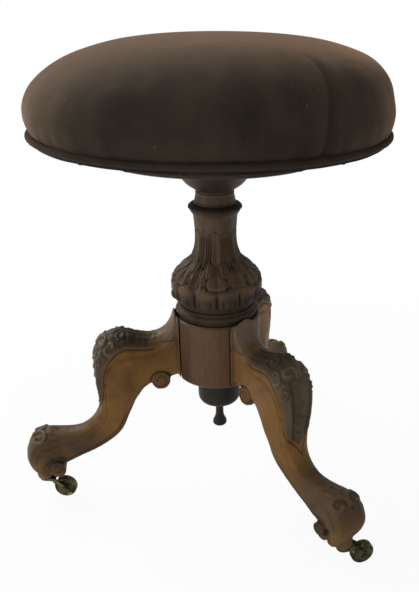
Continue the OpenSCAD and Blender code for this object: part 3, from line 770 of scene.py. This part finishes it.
def leafRelief(v, n, u, along):  # acanthus over the knee, husks down the shin, and curls on both
    lobe = abs(math.sin(math.pi * (along / 15 - 0.4 * u)))
    vein = max(0, math.sin(2 * math.pi * (along / 5.4 - 0.5 * u)))
    leaf = -0.7 * (1 - lobe) ** 3 * ease(0.12, 0.5, u) - 0.2 * vein * ease(0.1, 0.3, u)
    leaf += 0.3 + 0.6 * hill(u, 0.18, 0.1) - 1.0 * hill(u, 0, 0.07) + 0.4 * hill(u, 1.0, 0.15)
    cup = ((along + 36 * u * u) / 10.5) % 1
    husk = 1.5 * cup ** 1.3 * max(0, 1 - (u / 0.5) ** 2) - 0.7 * (1 - ease(0.45, 0.7, u))
    husk += 1.1 * hill(u, 0.84, 0.18) * (0.85 + 0.15 * lobe) - 0.6 * hill(u, 0.56, 0.09)
    knee = 1 - ease(*v["kneeEnds"], n)
    out = knee * leaf + (1 - knee) * husk
    for place, over, size, start in v["curls"]:
        across = (u - over) * v["half"]
        away = math.hypot(along - place, across)
        wound = ((math.atan2(across, along - place) - start) / (2 * math.pi)) % 1
        curl = 1.7 * hill(away, size * (0.3 + 0.62 * wound), size * 0.22)
        curl += 0.5 * hill(away, 0, size * 0.3) - 0.5 - 0.7 * hill(away, size + 1.4, 1.0)
        near = 1 - ease(size * 0.95, size + 2.5, away)
        out = out * (1 - near) + curl * near
    return out


def toeRelief(v, u, along):  # a swirl, with a smaller curl and flutes beside it
    place, over, start = v["toeSwirl"]
    across = (u - over) * v["toeHalf"]
    away = math.hypot(along - place, across)
    wound = ((math.atan2(across, along - place) + start) / (2 * math.pi)) % 1
    out = 2.0 * hill(away, 3.2 + 6.4 * wound, 1.9) - 1.0 * hill(away, 0.5 + 6.4 * wound, 1.3)
    flute = max(0, math.sin(2 * math.pi * (2.2 * u + along / 14)))
    out -= 0.5 * flute * (1 - hill(away, 0, 9)) + 0.9 * hill(u, 0, 0.1)
    place, over = v["toeCurl"]
    return out + hill(math.hypot(along - place, (u - over) * v["toeHalf"]), 0, 3.6)


def legRelief(v, spot, x, z, w):  # height of the carving and its marks, with the painted shade and painted highlight laid on it, by station number n
    n, q, thick, along = spot
    side = abs(w)
    onSide = ease(0.75, 0.9, side)
    limit = 0.82 - 0.06 * ease(7, 9.5, n) + 0.3 * ease(11.5, 15, n)
    tip = 1.2 - 1.2 * ease(12, 15.4, n)
    band = ease(*v["bandStarts"], n) * ease(limit - 0.01, limit + 0.04, q)
    band *= 1 - ease(tip - 0.12, tip, side)
    toe = span(*v["toe"], n) * ease(0.5, 0.64, q)
    u = side + max(0, 0.96 - q) * thick / v["half"]  # unrolled from the face's middle over its edge
    out = band * leafRelief(v, n, u, along) + toe * toeRelief(v, u, along)
    # incised lines: under the carving, round its tip, along the lower edge and at the hub
    line = hill((q - limit) * thick, -1.4, 0.9) * onSide * span(*v["line"], n)
    tipLine = hill((side - tip) * v["half"], 0.8, 1.0) * ease(0.8, 0.95, q)
    line = max(line, tipLine * span(*v["tipLine"], n))
    lowLine = hill(q * thick, 6.2, 0.8) * onSide * span(*v["lowLine"], n)
    rootLine = hill(z, v["rootLine"], 0.8) * onSide * (1 - ease(3.2, 4.2, n))
    kneeRing, kneeEye, kneeOff = volute(v["kneeRoll"], x, z, side)
    toeRing, toeEye, toeOff = volute(v["toeRoll"], x, z, side)
    kneeRing *= ease(-4, 0, z - v["kneeRoll"]["z"])
    lowLine *= ease(0.5, 2.5, kneeOff) * ease(0.5, 2.5, toeOff)
    onToe = ease(18.5, 19.5, n)
    hollow = hill(toeOff, 3.4, 2.2) * onSide * (z < v["toeRoll"]["z"] + 20) * onToe
    depths = v["depths"]
    out -= depths["toeRing"] * toeRing + depths["kneeRing"] * kneeRing
    out -= depths["eye"] * (toeEye + kneeEye) + depths["hollow"] * hollow
    out -= depths["line"] * line + depths["lowLine"] * lowLine + depths["rootLine"] * rootLine
    foot = ease(14.5, 18.5, n)
    toeEnd = ease(22, 23.5, n)
    rootTop = ease(v["rootLine"], v["rootLine"] + 1.5, z) * (1 - ease(3.4, 4.4, n))
    carved = max(band, 0.8 * toe, 0.9 * rootTop, 0.65 * foot * (1 - 0.5 * toeEnd))
    # painted shade along the lower edge of the leg and over the knee's top
    low = (1 - ease(3.6, 6.2, q * thick)) * span(4.6, 5.6, 19, 20.5, n)
    kneeShade = band * span(*v["kneeShade"], n) * ease(0.8, 0.9, q)
    # painted shade: incised lines, scroll rings and eyes, the toe hollow, deep relief, the lower
    # edge, the knee top, the lower shin and the scrolls' end faces are darkened
    dark = max(
        line, 0.9 * lowLine, 0.9 * rootLine, toeRing, 0.9 * toeEye, kneeRing, 0.9 * kneeEye,
        0.85 * hollow, 0.62 * low, 0.45 * kneeShade, 0.3 * foot * (1 - 0.7 * toeEnd),
        0.34 * (kneeOff < 0), 0.5 * (toeOff < 0) * onToe,
        ease(0.1, 1.3, -(out + 0.2)) * max(band, toe))
    # painted highlight, with some rubbed wear, on the raised carving, and painted highlight on the
    # leg's top by the root
    high = max(
        ease(0.5, 1.5, out) * max(band, toe), 0.6 * ease(0.55, 0.8, q) * (1 - ease(3, 3.9, n)))
    return out, carved, dark, high


def buildLegs(v):
    rows = legPlaces(v)
    first = copyNode("leg_right", "carvedLegRight")
    first.data.transform(Matrix.Rotation(-math.radians(legBearings["right"]), 4, "Z"))
    pick(first)
    bpy.ops.object.mode_set(mode="EDIT")
    bpy.ops.mesh.select_all(action="SELECT")
    bpy.ops.mesh.bisect(
        plane_co=(v["seat"] / 1000, 0, 0), plane_no=(-1, 0, 0), use_fill=True, clear_outer=True)
    bpy.ops.object.mode_set(mode="OBJECT")
    for point in first.data.vertices:  # the shoulder beside the root is laid flush with the hub
        beside = abs(point.co.y) > (v["rootHalf"] + 0.2) / 1000
        if beside and point.co.x < v["shoulder"] / 1000:
            point.co.x = v["hubFace"] / 1000
    discs = []
    for roll in (v["kneeRoll"], v["toeRoll"]):  # each plain roll gives way to the carved scroll
        for point in first.data.vertices:
            here = (point.co.x * 1000, point.co.z * 1000)
            if math.dist(here, (roll["x"], roll["z"])) < roll["plain"] + 1.2:
                point.co.y *= 0.72
        x, z = roll["x"], roll["z"] + roll["lift"]
        wide = halfWidth(v, legSpot(rows, x, z)[0]) + 0.5
        bpy.ops.object.select_all(action="DESELECT")
        bpy.ops.mesh.primitive_cylinder_add(
            vertices=48, radius=roll["carved"] / 1000, depth=2 * wide / 1000,
            location=(x / 1000, 0, z / 1000), rotation=(math.pi / 2, 0, 0))
        discs.append(bpy.context.object)
    pick(first)
    for disc in discs:
        disc.select_set(True)
    bpy.ops.object.join()
    applyModifier(first, "REMESH", mode="VOXEL", voxel_size=v["voxel"] / 1000)
    applyModifier(first, "SMOOTH", factor=0.5, iterations=3)
    carving, paintedShade, crestWearAndHighlight, moves = [], [], [], []
    for point in first.data.vertices:
        x, y, z = (c * 1000 for c in point.co)
        spot = legSpot(rows, x, z)
        out, band, dark, high = legRelief(v, spot, x, z, y / halfWidth(v, spot[0]))
        firm = ease(v["seat"], v["seat"] + 2, x) * ease(v["floor"], v["floor"] + 1.5, z)
        moves.append(point.normal * out * firm / 1000)
        # painted shadow line where the leg meets the hub: the shoulder strip takes the darker
        # carving colour, and the joint is darkened
        shoulder = (1 - ease(45.5, 46.5, x)) * ease(v["rootHalf"] - 1, v["rootHalf"], abs(y))
        joint = (1 - ease(46, 47, x)) * hill(abs(y), v["rootHalf"], 0.6)
        carving.append(max(band, 0.4 * shoulder))
        paintedShade.append(max(min(1, dark) * firm, 0.5 * joint))
        crestWearAndHighlight.append(high)
    for point, move in zip(first.data.vertices, moves):
        point.co += move
    for name, values in (("carving", carving), ("paintedShade", paintedShade), ("crestWearAndHighlight", crestWearAndHighlight)):
        markPoints(first, name, values)
    softShade(first, 60)
    print("leg carved:", len(first.data.polygons), "faces")
    legs = {"right": first}
    for side in ("left", "back"):
        legs[side] = newPiece("carvedLeg" + side.capitalize(), first.data.copy())
    for side, leg in legs.items():
        leg.data.transform(Matrix.Rotation(math.radians(legBearings[side]), 4, "Z"))
        ready(leg, finishes["carvedLeg"], "base", "walnut_light", "leg_" + side)


# Steel screw with its square thread; lengths in millimetres
screwValues = {
    "pitch": 5, "starts": 2, "depth": 1.1, "gap": 0.6, "steps": 64, "chamfer": 2,
    "groove": (0.30, 0.42, 0.80, 0.92)}


def buildScrew(v):
    low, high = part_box("screw")
    radius = high[0] * 1000
    bottom, top = low[2] * 1000, high[2] * 1000
    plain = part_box("seat_boss")[0][2] * 1000 - 1  # no thread from the boss up
    path = denser([
        (0, bottom), (radius - v["chamfer"], bottom), (radius, bottom + v["chamfer"]),
        (radius, top), (0, top)], v["gap"])
    piece = lathe("threadedScrew", path, v["steps"])
    for point in piece.data.vertices:
        x, y, z = (c * 1000 for c in point.co)
        r = math.hypot(x, y)
        if r > radius - 0.3 and z < plain:
            phase = (z / v["pitch"] - v["starts"] * math.atan2(y, x) / (2 * math.pi)) % 1
            groove = span(*v["groove"], phase)
            point.co.x *= 1 - groove * v["depth"] / r
            point.co.y *= 1 - groove * v["depth"] / r
    softShade(piece, 35)
    ready(piece, finishes["steel"], "seat", "steel", "screw")


buildCushion(cushionValues)
print("cushion done")
buildWelt(weltValues)
buildBottoming(bottomingValues)
print("welt and bottoming done")
buildPillar(pillarValues)
print("pillar carved")
buildLegs(legValues)
buildScrew(screwValues)
print("screw threaded")


# Camera, lamps, sky and floor
stageValues = {
    "cameraPlace": (0, -0.670, 0.5126), "yaw": 5.71, "pitch": 24.73, "roll": -1.11,
    "lens": 41.91, "shiftX": -0.1193, "shiftY": 0.0350, "skyLight": 0.42, "floorSize": 12,
    "lamps": {"keyLamp": ((-1.0, 0.8, 1.5), 23), "fillLamp": ((-1.7, -0.7, 0.6), 5.5)},
    "lampSize": 1.2, "lampAim": (0, 0, 0.25)}


def buildStage(v):
    camera = bpy.data.objects.new("camera", bpy.data.cameras.new("camera"))
    bpy.context.scene.collection.objects.link(camera)
    yaw, pitch, roll = (math.radians(v[k]) for k in ("yaw", "pitch", "roll"))
    level = math.cos(pitch)
    ahead = Vector((math.sin(yaw) * level, math.cos(yaw) * level, -math.sin(pitch)))
    right = Vector((math.cos(yaw), -math.sin(yaw), 0))
    down = ahead.cross(right)
    tiltedRight = right * math.cos(roll) + down * math.sin(roll)
    tiltedUp = right * math.sin(roll) - down * math.cos(roll)
    turn = Matrix((tiltedRight, tiltedUp, -ahead)).transposed()
    camera.matrix_world = Matrix.Translation(v["cameraPlace"]) @ turn.to_4x4()
    camera.data.lens = v["lens"]
    camera.data.sensor_width = 36
    camera.data.shift_x = v["shiftX"]
    camera.data.shift_y = v["shiftY"]
    camera.data.clip_start = 0.01
    bpy.context.scene.camera = camera

    for name, (place, power) in v["lamps"].items():
        lamp = bpy.data.objects.new(name, bpy.data.lights.new(name, "AREA"))
        lamp.data.energy = power
        lamp.data.size = v["lampSize"]
        lamp.location = place
        lamp.rotation_mode = "QUATERNION"
        back = Vector(place) - Vector(v["lampAim"])
        lamp.rotation_quaternion = back.to_track_quat("Z", "Y")
        bpy.context.scene.collection.objects.link(lamp)

    world = bpy.data.worlds.new("studio")
    bpy.context.scene.world = world
    world.use_nodes = True
    tree = world.node_tree
    tree.nodes.clear()
    path = tree.nodes.new("ShaderNodeLightPath")
    cameraRay = Wire(tree, path.outputs["Is Camera Ray"])
    seen = cameraRay.does("MAXIMUM", Wire(tree, path.outputs["Is Transmission Ray"]))
    strength = seen * (1 - v["skyLight"]) + v["skyLight"]
    sky = tree.nodes.new("ShaderNodeBackground")
    sky.inputs["Color"].default_value = (1, 1, 1, 1)
    plug(tree, sky.inputs["Strength"], strength)
    out = tree.nodes.new("ShaderNodeOutputWorld")
    tree.links.new(sky.outputs[0], out.inputs["Surface"])

    bpy.ops.object.select_all(action="DESELECT")
    bpy.ops.mesh.primitive_plane_add(size=v["floorSize"], location=(0, 0, 0))
    floor = bpy.context.object
    floor.name = "floor"
    paper = Finish("floorPaper", {"Roughness": 0.9, "Specular IOR Level": 0.1})
    mottle = paper.noise(paper.place(), 60, 2)
    paper.feed("Base Color", paper.mix(mottle, colour(.86, .86, .86), colour(.84, .84, .84)))
    tree = paper.tree
    glow = tree.nodes.new("ShaderNodeEmission")
    glow.inputs["Strength"].default_value = 1
    path = tree.nodes.new("ShaderNodeLightPath")
    blend = tree.nodes.new("ShaderNodeMixShader")
    away = paper.node("ShaderNodeVectorMath", {"operation": "LENGTH"}, {0: paper.place()}, "Value")
    white = away.between(0.25, 0.9) * 0.06 + 0.94  # the floor shows plain white far from the stool
    plug(tree, blend.inputs[0], Wire(tree, path.outputs["Is Camera Ray"]) * white)
    tree.links.new(paper.shader.outputs[0], blend.inputs[1])
    tree.links.new(glow.outputs[0], blend.inputs[2])
    tree.links.new(blend.outputs[0], tree.nodes["Material Output"].inputs["Surface"])
    dress(floor, paper.material)


buildStage(stageValues)
bpy.context.scene.view_settings.view_transform = "Standard"
print("stage set")
